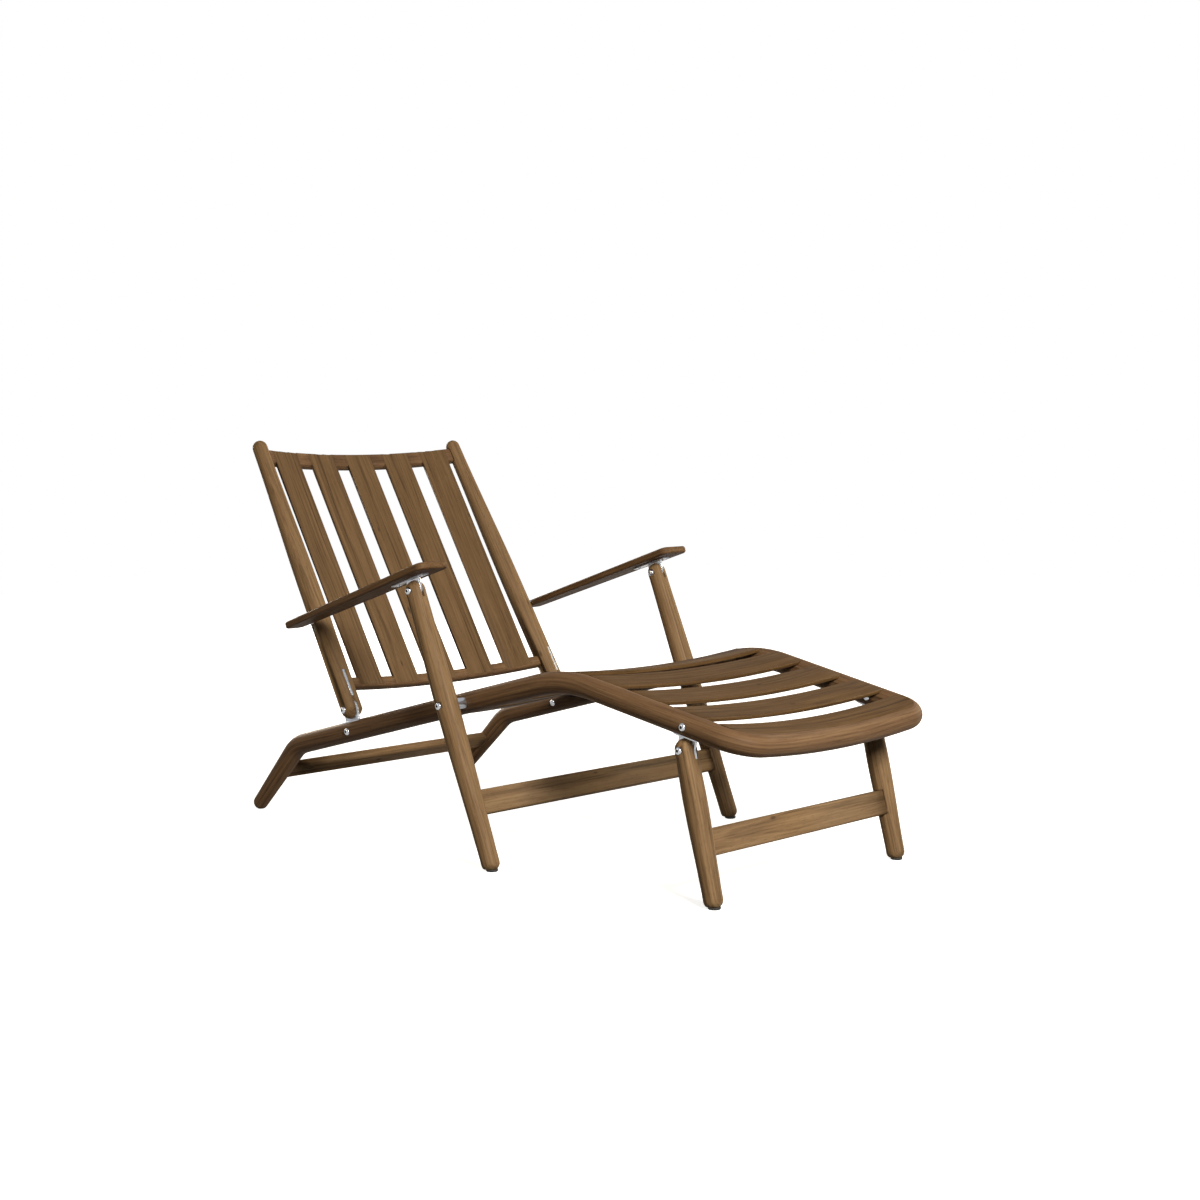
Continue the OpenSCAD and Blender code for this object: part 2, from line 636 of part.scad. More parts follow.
// The four bolts that hold the hinge plates in the rails
module at_rail_bolts(side) {
    translate([side * back_plate_x, 0, 0]) hinge_frame(back_seat, 0) children();
    translate([side * foot_plate_x, 0, 0]) hinge_frame(foot_seat, 0) children();
}
module rail_bolts() color("#d5d7da") place() for (side = [-1, 1]) at_rail_bolts(side) bolt_in(side, rail_r);
module rail_bolt_nuts() color("#d5d7da") place() for (side = [-1, 1]) at_rail_bolts(side) nut_in(side, rail_r);

// Back

module stile_shape(side) stile_frame(side) turned(concat(
    [[0, -stile_dome]],
    [for (k = [1 : 5]) [stile_r * sin(k * 18), -stile_dome * cos(k * 18)]],
    [for (k = [0 : 8]) let (t = k / 8)
        [stile_r + (stile_top_d / 2 - stile_r) * swell(t), stile_len * (0.4 + 0.6 * t)]],
    [for (k = [1 : 6]) [stile_top_d / 2 * cos(k * 15), stile_len + stile_top_d / 2 * sin(k * 15)]]));

// A ring section of the hollow back, between radii and heights, half degrees wide
module bow_ring(r1, r2, z1, z2, a1, a2) translate([0, bow_centre, 0]) rotate([0, 0, 90 - a2])
    rotate_extrude(angle = a2 - a1, $fn = 360) translate([r1, z1]) square([r2 - r1, z2 - z1]);

// Angle on the bow at which a back rail ends, inside the stile at height z
function rail_end_angle(z) = asin((stile_half - z * tan(stile_splay) - 6) / (back_bow_r + back_rail_t / 2));

module back_rail_bar(z, h, g) {
    a = rail_end_angle(z) + g / back_bow_r * 60;
    translate([0, bow_centre, 0]) rotate([0, 0, 90 - a]) rotate_extrude(angle = 2 * a, $fn = 360)
        translate([back_bow_r + back_rail_t / 2, z + h / 2])
            rounded_rect(back_rail_t + 2 * g, h + 2 * g, 7, $fn = 48);
}

module back_slat_ring(i, g) {
    half = back_slat_w / 2 / back_bow_r * 180 / PI;
    mid = (i - (back_slat_count - 1) / 2) * back_slat_pitch / back_bow_r * 180 / PI;
    bow_ring(back_bow_r - (g > 0 ? 10 : 0), back_bow_r + back_slat_t + g, slat_foot_z - g, slat_head_z + g,
        mid - half - g / 20, mid + half + g / 20);
}

module back_stile(side) color("#80603e") place() difference() {
    stile_shape(side);
    back_frame() {
        back_rail_bar(bottom_rail_at, bottom_rail_h, seam);
        back_rail_bar(top_rail_z, top_rail_h, seam);
        translate([side * stile_half, 0, 0]) bolt_cut(stile_r, seam);
        translate([side * back_plate_x, 0, 0])
            plate(plate_slot) translate([-2 * stile_r, -2 * stile_r]) square([4 * stile_r, 2 * stile_r + stop_top_z]);
        translate([0, 0, arm_link]) scale_x(side) bar_x(10 + 2 * seam, stile_half - 20, stile_half + 40);
    }
}

module back_top_rail() color("#7a5c3c") place() back_frame() difference() {
    back_rail_bar(top_rail_z, top_rail_h, 0);
    for (i = [0 : back_slat_count - 1]) back_slat_ring(i, seam);
}

module back_bottom_rail() color("#7a5c3c") place() back_frame() difference() {
    back_rail_bar(bottom_rail_at, bottom_rail_h, 0);
    for (i = [0 : back_slat_count - 1]) back_slat_ring(i, seam);
}

module back_slat(i) color("#6f5537") place() back_frame() back_slat_ring(i, 0);

// Steel plates in the upper ends of the stiles' slots, on which the tongues stop
module back_stop_plates() color("#c9ccd0") place() back_frame() for (side = [-1, 1])
    translate([side * back_plate_x, 0, 0])
        plate(plate_slot - 2 * seam) translate([-back_tongue, stop_z + seam])
            square([2 * back_tongue, stop_top_z - stop_z - 2 * seam]);

module back_pivot_bolts() color("#d5d7da") place() back_frame() for (side = [-1, 1])
    translate([side * stile_half, 0, 0]) bolt_in(side, stile_r);
module back_pivot_nuts() color("#d5d7da") place() back_frame() for (side = [-1, 1])
    translate([side * stile_half, 0, 0]) nut_in(side, stile_r);

// Pins on which the arms' rear ends turn
module arm_link_pins() color("#d5d7da") place() back_frame() translate([0, 0, arm_link])
    for (side = [-1, 1]) scale_x(side) bar_x(10, stile_half - 20, leg_half - arm_half(link_y) - link_gap);

// Front legs

module leg_shape(side) translate([side * leg_half, 0, 0])
    turned(leg_profile(leg_top_r, leg_d / 2, leg_foot_d / 2, leg_upper, 0, -leg_lower, leg_dome, foot_cap));

module stretcher_board(half, z, g) translate([-half - g, 0, z]) rotate([0, 90, 0])
    linear_extrude(2 * half + 2 * g) rounded_rect(stretcher_w + 2 * g, stretcher_t + 2 * g, 4);

front_stretcher_z = -(pivot_h - stretcher_h) / cos(leg_lean);
front_stretcher_half = leg_half - leg_d / 2 + housing;

module front_leg(side) color("#80603e") place() difference() {
    leg_frame() leg_shape(side);
    floor_cut();
    leg_frame() {
        translate([side * leg_half, 0, 0]) {
            bar_x(bolt_d + 2 * seam, -2 * leg_d, 2 * leg_d);
            scale_x(side) bar_x(2 * head_seat, face_at(leg_d / 2), leg_d);
            scale_x(side) bar_x(spacer_d + 2 * seam, -leg_d, -leg_d / 2 + spacer_in);
        }
        translate([side * leg_half, 0, leg_upper]) {
            bolt_cut(leg_top_r, seam);
            plate(plate_slot) translate([-leg_d, -leg_slot_z]) square([2 * leg_d, 2 * leg_d]);
        }
        stretcher_board(front_stretcher_half, front_stretcher_z, seam);
    }
}

module front_stretcher() color("#7a5c3c") place() leg_frame()
    stretcher_board(front_stretcher_half, front_stretcher_z, 0);

module leg_spacers() color("#c9ccd0") place() for (side = [-1, 1]) scale_x(side) difference() {
    bar_x(spacer_d, rail_half + rail_r - spacer_in + running, leg_half - leg_d / 2 + spacer_in);
    bar_x(bolt_d + 2 * seam, 0, 2 * leg_half);
}

// The pivot bolts reach through leg, spacer and rail to a cap nut inside the rail
module leg_pivot_bolts() color("#d5d7da") place() for (side = [-1, 1])
    translate([side * (leg_half + face_at(leg_d / 2)), 0, 0]) scale_x(side)
        bolt(leg_half + face_at(leg_d / 2) - rail_half + face_at(rail_r) + running + nut_grip);
module leg_pivot_nuts() color("#d5d7da") place() for (side = [-1, 1])
    translate([side * (rail_half - face_at(rail_r) - running), 0, 0]) scale_x(-side) cap_nut(nut_grip);

module at_arm_pivot(side) leg_frame() translate([side * leg_half, 0, leg_upper]) children();
module arm_pivot_bolts() color("#d5d7da") place() for (side = [-1, 1]) at_arm_pivot(side) bolt_in(side, leg_top_r);
module arm_pivot_nuts() color("#d5d7da") place() for (side = [-1, 1]) at_arm_pivot(side) nut_in(side, leg_top_r);

module front_leg_glides() color("#202020") for (side = [-1, 1])
    glide(side * leg_half, y0 - (pivot_h - glide_h) * tan(leg_lean));

// Arms

// Points of a polygon with its corners rounded to radius r, turning to the left
function rounded(points, r) = [
    for (i = [0 : len(points) - 1])
        let (p = points[i],
             a = points[(i + len(points) - 1) % len(points)] - p,
             b = points[(i + 1) % len(points)] - p,
             ua = a / norm(a),
             ub = b / norm(b),
             half = acos(ua * ub) / 2,
             centre = p + (ua + ub) / norm(ua + ub) * r / sin(half),
             start = atan2(ua[0], -ua[1]))
        for (k = [0 : 6]) centre + r * side_dir(start + k / 6 * (180 - 2 * half))];

module arm_board(side) translate([0, 0, arm_rise]) linear_extrude(arm_t) polygon(rounded([
    [-arm_front_w / 2, -arm_front], [arm_front_w / 2, -arm_front],
    [arm_rear_w / 2, arm_back], [-arm_rear_w / 2, arm_back]], arm_corner_r));

arm_flange_front = -36;              // ends of the arm plate's flange
arm_flange_back = 56;
arm_screw_y = [-26, 44];

module arm(side) color("#7a5c3c") place() arm_frame(side) difference() {
    arm_board(side);
    for (y = arm_screw_y) translate([0, y, arm_rise - 1]) cylinder(d = 4 + 2 * seam, h = 10 + seam);
}

module arm_hinge_plate(side) color("#c9ccd0") place() arm_frame(side) difference() {
    union() {
        plate(plate_t) union() {
            circle(leg_tongue);
            translate([-leg_tongue, 0]) square([2 * leg_tongue, arm_rise - flange_t]);
        }
        translate([-flange_w / 2, arm_flange_front, arm_rise - flange_t])
            cube([flange_w, arm_flange_back - arm_flange_front, flange_t]);
    }
    bar_x(bolt_d + 2 * pivot_fit, -20, 20);
    for (y = arm_screw_y) translate([0, y, arm_rise - 5]) cylinder(d = 4 + 2 * seam, h = 10);
}

module arm_screws(side) color("#d5d7da") place() arm_frame(side) for (y = arm_screw_y)
    translate([0, y, arm_rise - flange_t]) {
        translate([0, 0, -2]) cylinder(d1 = 5, d2 = 8, h = 2);
        cylinder(d = 4, h = flange_t + 9);
    }

// Foot legs

module foot_leg_shape(side) translate([side * foot_leg_half, 0, 0])
    turned(leg_profile(foot_top_r, foot_leg_d / 2, foot_leg_foot_d / 2, 0, -0.3 * foot_leg_len,
        -foot_leg_len, foot_dome, foot_cap));

foot_stretcher_z = -(pivot_h + foot_pivot[1] - foot_stretcher_h) / cos(foot_leg_lean);
foot_stretcher_half = foot_leg_half - foot_leg_d / 2 + housing;

module foot_leg(side) color("#80603e") place() difference() {
    foot_leg_frame() foot_leg_shape(side);
    floor_cut();
    foot_leg_frame() {
        translate([side * foot_leg_half, 0, 0]) bolt_cut(foot_top_r, seam);
        translate([side * foot_plate_x, 0, 0]) plate(plate_slot)
            translate([-foot_leg_d, -foot_tongue - seam]) square([2 * foot_leg_d, 2 * foot_leg_d]);
        stretcher_board(foot_stretcher_half, foot_stretcher_z, seam);
    }
}

module foot_stretcher() color("#7a5c3c") place() foot_leg_frame()
    stretcher_board(foot_stretcher_half, foot_stretcher_z, 0);

module foot_pivot_bolts() color("#d5d7da") place() foot_leg_frame() for (side = [-1, 1])
    translate([side * foot_leg_half, 0, 0]) bolt_in(side, foot_top_r);
module foot_pivot_nuts() color("#d5d7da") place() foot_leg_frame() for (side = [-1, 1])
    translate([side * foot_leg_half, 0, 0]) nut_in(side, foot_top_r);

module foot_leg_glides() color("#202020") for (side = [-1, 1])
    glide(side * foot_leg_half, y0 + foot_pivot[0] - (pivot_h + foot_pivot[1] - glide_h) * tan(foot_leg_lean));

side_rail(-1);  // side_rail_left
side_rail(1);  // side_rail_right
foot_end_rail();
for (i = [1 : slat_count]) seat_slat(i - 1);
rear_stretcher();
back_hinge_plate(-1);  // back_hinge_plate_left
back_hinge_plate(1);  // back_hinge_plate_right
foot_hinge_plate(-1);  // foot_hinge_plate_left
foot_hinge_plate(1);  // foot_hinge_plate_right
rail_bolts();
rail_bolt_nuts();
back_stile(-1);  // back_stile_left
back_stile(1);  // back_stile_right
back_top_rail();
back_bottom_rail();
for (i = [1 : back_slat_count]) back_slat(i - 1);
back_stop_plates();
back_pivot_bolts();
back_pivot_nuts();
arm_link_pins();
front_leg(-1);  // front_leg_left
front_leg(1);  // front_leg_right
front_stretcher();
leg_spacers();
leg_pivot_bolts();
leg_pivot_nuts();
arm_pivot_bolts();
arm_pivot_nuts();
front_leg_glides();
arm(-1);  // arm_left
arm_hinge_plate(-1);  // arm_hinge_plate_left
arm_screws(-1);  // arm_screws_left
arm(1);  // arm_right
arm_hinge_plate(1);  // arm_hinge_plate_right
arm_screws(1);  // arm_screws_right
foot_leg(-1);  // foot_leg_left
foot_leg(1);  // foot_leg_right
foot_stretcher();
foot_pivot_bolts();
foot_pivot_nuts();
foot_leg_glides();
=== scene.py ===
# %% [markdown]
# A folding teak chaise longue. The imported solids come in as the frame: every
# piece of wood, plate and bolt is already in its place and rides on its body.
# This lesson dresses them: the boards get eased edges, the wood gets a grain
# that follows each piece, and the steel and rubber get their own surfaces.

# %% Load the frame
import json
import math
import bpy
import bmesh
import numpy as np
from mathutils import Matrix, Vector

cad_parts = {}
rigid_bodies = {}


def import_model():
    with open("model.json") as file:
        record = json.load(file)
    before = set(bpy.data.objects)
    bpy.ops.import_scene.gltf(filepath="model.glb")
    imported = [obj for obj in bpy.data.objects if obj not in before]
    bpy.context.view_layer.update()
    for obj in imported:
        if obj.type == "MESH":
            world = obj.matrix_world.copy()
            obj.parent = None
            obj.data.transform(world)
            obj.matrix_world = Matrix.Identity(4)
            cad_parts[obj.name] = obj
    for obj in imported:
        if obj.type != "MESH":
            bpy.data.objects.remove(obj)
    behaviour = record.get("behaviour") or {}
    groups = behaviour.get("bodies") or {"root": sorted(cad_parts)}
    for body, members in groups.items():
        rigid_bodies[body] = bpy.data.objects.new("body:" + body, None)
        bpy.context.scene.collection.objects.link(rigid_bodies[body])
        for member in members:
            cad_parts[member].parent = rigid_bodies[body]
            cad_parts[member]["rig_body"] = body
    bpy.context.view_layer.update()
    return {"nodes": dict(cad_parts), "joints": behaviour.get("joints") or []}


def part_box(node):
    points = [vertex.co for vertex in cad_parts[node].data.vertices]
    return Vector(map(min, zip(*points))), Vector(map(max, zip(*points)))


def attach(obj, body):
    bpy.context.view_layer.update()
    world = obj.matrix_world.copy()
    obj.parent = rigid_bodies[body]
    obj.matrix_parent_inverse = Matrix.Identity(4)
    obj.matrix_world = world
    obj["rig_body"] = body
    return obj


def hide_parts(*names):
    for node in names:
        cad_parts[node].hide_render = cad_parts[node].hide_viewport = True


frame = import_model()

# %% [markdown]
# The photograph was taken a little above seat height, from the left of the
# foot end. The camera was found from the leg feet, the corners and the
# parallel edges: it stands 3.7 m away, tipped down 5 degrees, with a lens of
# 56 mm on a 36 mm sensor. A long lens far away keeps the legs parallel.

# %% Camera
photo_size = 1200
lens_pixels = 1868.93
camera_place = (-2.5599, -2.5757, 0.7754)
tipped_down, turned_right = math.radians(4.949), math.radians(45.695)

eye = bpy.data.cameras.new("photo_camera")
eye.sensor_width = 36.0
eye.lens = lens_pixels / photo_size * eye.sensor_width
camera = bpy.data.objects.new("photo_camera", eye)
camera.location = camera_place
camera.rotation_euler = (math.radians(90) - tipped_down, 0.0, -turned_right)
bpy.context.scene.collection.objects.link(camera)
bpy.context.scene.camera = camera
print("lens:", round(eye.lens, 2), "mm")

# %% [markdown]
# Colours are written as they look on a screen, as sRGB hex values. A shader
# works in linear light, so one function turns each value once.

# %% Colour helper
def linear(hex_colour):
    """sRGB to linear: v / 12.92 below 0.04045, otherwise ((v + 0.055) / 1.055) ** 2.4."""
    values = [int(hex_colour[i:i + 2], 16) / 255 for i in (1, 3, 5)]
    rgb = [v / 12.92 if v <= 0.04045 else ((v + 0.055) / 1.055) ** 2.4 for v in values]
    return (*rgb, 1.0)


print("teak in linear light:", [round(v, 3) for v in linear("#755a3c")])

# %% [markdown]
# A material is a small graph. Adding a node always takes the same three
# steps: make it, set its values, and join its inputs. One function does all
# three, so that a material below reads as a list of what happens to a point.

# %% Node helper
def add(tree, kind, values=None, links=None, **settings):
    """One node: settings are its properties, values its constants, links its joined inputs."""
    node = tree.nodes.new(kind)
    for key, value in settings.items():
        setattr(node, key, value)
    for key, value in (values or {}).items():
        node.inputs[key].default_value = value
    for key, socket in (links or {}).items():
        tree.links.new(socket, node.inputs[key])
    return node


def new_material(name):
    """An empty material and its graph, ready to be filled."""
    material = bpy.data.materials.new(name)
    material.use_nodes = True
    material.node_tree.nodes.clear()
    return material, material.node_tree


# %% [markdown]
# The studio is a pale floor under soft light. The photograph is cut out on
# white, so the floor and the world show white to the camera. A mirror ray
# meets about half of that white, and the wood is lit only by what a dim room
# and a dark floor would send back to it. The floor still keeps the soft
# shadow of the chair.

# %% Floor and world
floor_half = 6.0
white_near, white_far = 0.6, 2.0
floor_mirrored, room_mirrored = 0.5, 0.6
room_strength = 0.09


def sees_white(tree, mirrored):
    """How white a ray finds a surface: 1 from the camera or through glass, less off a polished piece."""
    ray = add(tree, "ShaderNodeLightPath")
    shiny = add(tree, "ShaderNodeMath", {1: mirrored}, {0: ray.outputs["Is Glossy Ray"]},
                operation="MULTIPLY")
    seen = add(tree, "ShaderNodeMath", operation="MAXIMUM",
               links={0: ray.outputs["Is Camera Ray"], 1: shiny.outputs[0]})
    seen = add(tree, "ShaderNodeMath", operation="MAXIMUM",
               links={0: seen.outputs[0], 1: ray.outputs["Is Transmission Ray"]})
    return seen.outputs[0]


mesh = bpy.data.meshes.new("studio_floor")
mesh.from_pydata([(-floor_half, -floor_half, 0), (floor_half, -floor_half, 0),
                  (floor_half, floor_half, 0), (-floor_half, floor_half, 0)], [], [(0, 1, 2, 3)])
floor = bpy.data.objects.new("studio_floor", mesh)
bpy.context.scene.collection.objects.link(floor)

paper, tree = new_material("white_paper_floor")
grey = add(tree, "ShaderNodeBsdfDiffuse", {"Color": linear("#13161a")})
pale = add(tree, "ShaderNodeBsdfDiffuse", {"Color": linear("#f4f4f4")})
# The paper's own white grows from the middle outward, so that the far floor meets the world
spot = add(tree, "ShaderNodeTexCoord")
away = add(tree, "ShaderNodeVectorMath", links={0: spot.outputs["Object"]}, operation="LENGTH")
far = add(tree, "ShaderNodeMapRange", {1: white_near, 2: white_far, 3: 0.80, 4: 1.0},
          {0: away.outputs["Value"]})
glow = add(tree, "ShaderNodeEmission", {"Color": (1, 1, 1, 1)}, {"Strength": far.outputs[0]})
white = add(tree, "ShaderNodeAddShader", links={0: pale.outputs[0], 1: glow.outputs[0]})
both = add(tree, "ShaderNodeMixShader",
           links={0: sees_white(tree, floor_mirrored), 1: grey.outputs[0], 2: white.outputs[0]})
add(tree, "ShaderNodeOutputMaterial", links={"Surface": both.outputs[0]})
floor.data.materials.append(paper)

world = bpy.data.worlds.new("studio")
bpy.context.scene.world = world
world.use_nodes = True
world.node_tree.nodes.clear()
tree = world.node_tree
room = add(tree, "ShaderNodeBackground", {"Color": linear("#c3cbd6"), "Strength": room_strength})
white = add(tree, "ShaderNodeBackground", {"Color": (1, 1, 1, 1), "Strength": 1.0})
both = add(tree, "ShaderNodeMixShader",
           links={0: sees_white(tree, room_mirrored), 1: room.outputs[0], 2: white.outputs[0]})
add(tree, "ShaderNodeOutputWorld", links={"Surface": both.outputs[0]})
bpy.context.scene.view_settings.view_transform = "Standard"
print("floor:", 2 * floor_half, "m square; world:", world.name)

# %% [markdown]
# The lit strip on each leg lies to the right of its middle, and the tops of
# the slats are darker than that strip. So the main light comes in at 30
# degrees from the foot end's side, a little right of the camera, and a weak
# one near the floor fills in under it. A third, low on the right, shines
# through under the seat onto the legs. Two lights at the sides give the thin
# olive edges that the photograph shows, and one behind keeps the view from
# there clear.

# %% Lights
def soft_light(name, watts, size, place, target, colour):
    """A square lamp at place, turned so that it faces target."""
    lamp = bpy.data.lights.new(name, "AREA")
    lamp.energy = watts
    lamp.size = size
    lamp.color = linear(colour)[:3]
    holder = bpy.data.objects.new(name, lamp)
    away = np.array(place, float) - np.array(target, float)
    away /= np.linalg.norm(away)
    across = np.cross((0, 0, 1), away)
    across /= np.linalg.norm(across)
    up = np.cross(away, across)
    rows = [[across[i], up[i], away[i], place[i]] for i in range(3)]
    holder.matrix_world = Matrix(rows + [[0, 0, 0, 1]])
    bpy.context.scene.collection.objects.link(holder)


middle = (0.0, 0.0, 0.35)
soft_light("key_light", 225, 1.2, (-1.30, -3.6, 2.45), middle, "#fffaf4")
soft_light("low_fill_front", 3, 1.2, (0.6, -3.8, 0.5), middle, "#fff6ec")
soft_light("low_fill_right", 8, 0.6, (3.0, -1.3, 0.3), (0.0, -0.2, 0.15), "#fff0d8")
soft_light("back_fill", 100, 1.6, (1.2, 3.9, 1.3), middle, "#fff3e2")
soft_light("rim_light_left", 16, 1.0, (-3.4, 1.2, 1.5), middle, "#ffe4ae")
soft_light("rim_light_right", 40, 1.0, (3.2, -0.6, 1.5), middle, "#ffe8bc")

# %% [markdown]
# Wood is cut from a straight blank, and its grain is laid out in that blank.
# When a rail is bent, the grain bends with it. So each piece carries an
# attribute named blank: for every point, how far it lies along, across and
# deep in its own straight blank. The wood is drawn in these coordinates.

# %% The teak
ring_gap = 0.0052
pith_across, pith_deep = 0.013, 0.055
pith_wander = 0.022


def teak(name, dark, middle_tone, light, shine=0.12):
    """Oiled teak: growth rings round a far pith, fibre streaks, short pores and a few pin knots."""
    material, tree = new_material(name)
    blank = add(tree, "ShaderNodeAttribute", attribute_name="blank")
    # Rings are shells round the pith, which lies 55 mm under the blank and wanders slowly
    wander = add(tree, "ShaderNodeMapping", {"Scale": (2.4, 5.0, 5.0)}, {"Vector": blank.outputs["Vector"]})
    wander = add(tree, "ShaderNodeTexNoise", {"Scale": 1.0, "Detail": 2.0, "Roughness": 0.5},
                 {"Vector": wander.outputs[0]})
    flat = add(tree, "ShaderNodeVectorMath", {1: (0.0, 1.0, 1.0)}, {0: blank.outputs["Vector"]},
               operation="MULTIPLY")
    flat = add(tree, "ShaderNodeVectorMath", {1: (0.0, pith_across, pith_deep)}, {0: flat.outputs[0]},
               operation="ADD")
    radius = add(tree, "ShaderNodeVectorMath", links={0: flat.outputs[0]}, operation="LENGTH")
    shift = add(tree, "ShaderNodeMath", {1: pith_wander}, {0: wander.outputs[0]}, operation="MULTIPLY")
    depth = add(tree, "ShaderNodeMath", links={0: radius.outputs["Value"], 1: shift.outputs[0]},
                operation="ADD")
    count = add(tree, "ShaderNodeMath", {1: 1.0 / ring_gap}, {0: depth.outputs[0]}, operation="MULTIPLY")
    rings = add(tree, "ShaderNodeTexNoise", {"Scale": 1.0, "Detail": 3.0, "Roughness": 0.62},
                {"W": count.outputs[0]}, noise_dimensions="1D")
    # Fibre streaks, drawn 3 mm wide and 110 mm long so that they show at this distance
    fibre = add(tree, "ShaderNodeMapping", {"Scale": (9.0, 330.0, 330.0)},
                {"Vector": blank.outputs["Vector"]})
    fibre = add(tree, "ShaderNodeTexNoise", {"Scale": 1.0, "Detail": 4.0, "Roughness": 0.6},
                {"Vector": fibre.outputs[0]})
    # Broad bands of tone, some 25 mm wide and half a metre long
    band = add(tree, "ShaderNodeMapping", {"Scale": (2.0, 40.0, 40.0)}, {"Vector": blank.outputs["Vector"]})
    band = add(tree, "ShaderNodeTexNoise", {"Scale": 1.0, "Detail": 2.0, "Roughness": 0.5},
               {"Vector": band.outputs[0]})
    # The tones are weighed against each other and spread over the ramp
    tone = add(tree, "ShaderNodeMix", {0: 0.55}, {2: rings.outputs[0], 3: fibre.outputs[0]},
               data_type="FLOAT")
    tone = add(tree, "ShaderNodeMix", {0: 0.25}, {2: tone.outputs[0], 3: band.outputs[0]},
               data_type="FLOAT")
    ramp = add(tree, "ShaderNodeValToRGB", links={0: tone.outputs[0]})
    ramp.color_ramp.elements[0].position = 0.34
    ramp.color_ramp.elements[0].color = linear(dark)
    ramp.color_ramp.elements[1].position = 0.64
    ramp.color_ramp.elements[1].color = linear(light)
    between = ramp.color_ramp.elements.new(0.48)
    between.color = linear(middle_tone)
    # Pores: dark dashes 1 mm wide and 14 mm long, four times the size of real ones
    pore = add(tree, "ShaderNodeMapping", {"Scale": (70.0, 900.0, 900.0)},
               {"Vector": blank.outputs["Vector"]})
    pore = add(tree, "ShaderNodeTexNoise", {"Scale": 1.0, "Detail": 1.0}, {"Vector": pore.outputs[0]})
    pore = add(tree, "ShaderNodeMapRange", {1: 0.62, 2: 0.72, 3: 0.0, 4: 0.35}, {0: pore.outputs[0]})
    # Pin knots: dark specks up to 7 mm wide and 20 mm long, in cells of 110 by 42 mm
    knot = add(tree, "ShaderNodeMapping", {"Scale": (9.0, 24.0, 24.0)}, {"Vector": blank.outputs["Vector"]})
    knot = add(tree, "ShaderNodeTexVoronoi", {"Scale": 1.0}, {"Vector": knot.outputs[0]})
    knot = add(tree, "ShaderNodeMapRange", {1: 0.05, 2: 0.09, 3: 0.55, 4: 0.0},
               {0: knot.outputs["Distance"]})
    marks = add(tree, "ShaderNodeMath", links={0: pore.outputs[0], 1: knot.outputs[0]},
                operation="MAXIMUM")
    colour = add(tree, "ShaderNodeMix", {7: linear("#2c2018")},
                 {0: marks.outputs[0], 6: ramp.outputs[0]}, data_type="RGBA")
    rough = add(tree, "ShaderNodeMapRange", {1: 0.3, 2: 0.7, 3: 0.62, 4: 0.48}, {0: fibre.outputs[0]})
    # The streaks stand up and the marks sink, by less than half a millimetre
    relief = add(tree, "ShaderNodeMath", links={0: fibre.outputs[0], 1: marks.outputs[0]},
                 operation="SUBTRACT")
    bump = add(tree, "ShaderNodeBump", {"Strength": 0.35, "Distance": 0.0004},
               {"Height": relief.outputs[0]})
    wood = add(tree, "ShaderNodeBsdfPrincipled", {"IOR": 1.45, "Specular IOR Level": shine},
               {"Base Color": colour.outputs[2], "Roughness": rough.outputs[0], "Normal": bump.outputs[0]})
    add(tree, "ShaderNodeOutputMaterial", links={"Surface": wood.outputs[0]})
    return material


teak_bent = teak("oiled_teak_bent", "#443220", "#6c5138", "#826546")
teak_turned = teak("oiled_teak_turned", "#54412b", "#7f6445", "#957956")
# The seat slats lie almost level with the eye, where even a little shine would turn them grey
teak_slats = teak("oiled_teak_slats", "#3b2a16", "#584025", "#6a502f", 0.06)
teak_arms = teak("oiled_teak_arms", "#403020", "#63492f", "#785c3e")
teak_back = teak("oiled_teak_back_slats", "#463523", "#674f34", "#7a6042")
print("teaks:", [m.name for m in (teak_bent, teak_turned, teak_slats, teak_arms, teak_back)])

# %% [markdown]
# The plates, bolts and spacers are stainless steel. It is a metal, so its
# colour sits in the reflection, and polishing leaves faint fine lines. The
# sockets of the bolts are painted near-black, as painted shade for their deep
# recess, and the glides are moulded rubber.

# %% The steel and the rubber
def stainless(name, colour, rough_low, rough_high):
    """Polished stainless steel: metallic, pale, with a roughness that wavers by the polishing lines."""
    material, tree = new_material(name)
    place = add(tree, "ShaderNodeTexCoord")
    # Polishing lines are some 0.1 mm apart; they are drawn 1 mm apart to show at all
    lines = add(tree, "ShaderNodeMapping", {"Scale": (60.0, 1000.0, 60.0)},
                {"Vector": place.outputs["Object"]})
    lines = add(tree, "ShaderNodeTexNoise", {"Scale": 1.0, "Detail": 3.0}, {"Vector": lines.outputs[0]})
    rough = add(tree, "ShaderNodeMapRange", {1: 0.3, 2: 0.7, 3: rough_low, 4: rough_high},
                {0: lines.outputs[0]})
    bump = add(tree, "ShaderNodeBump", {"Strength": 0.03, "Distance": 0.0001},
               {"Height": lines.outputs[0]})
    metal = add(tree, "ShaderNodeBsdfPrincipled", {"Base Color": linear(colour), "Metallic": 1.0},
                {"Roughness": rough.outputs[0], "Normal": bump.outputs[0]})
    add(tree, "ShaderNodeOutputMaterial", links={"Surface": metal.outputs[0]})
    return material


plate_steel = stainless("brushed_stainless_plate", "#c2c7cf", 0.26, 0.32)
bolt_steel = stainless("polished_stainless_bolt", "#cbcfd6", 0.10, 0.20)

# The socket material is near-black: painted shade for the recess in each bolt head, not a colour of the
# steel
socket_painted_shade, tree = new_material("oil_blackened_steel")
place = add(tree, "ShaderNodeTexCoord")
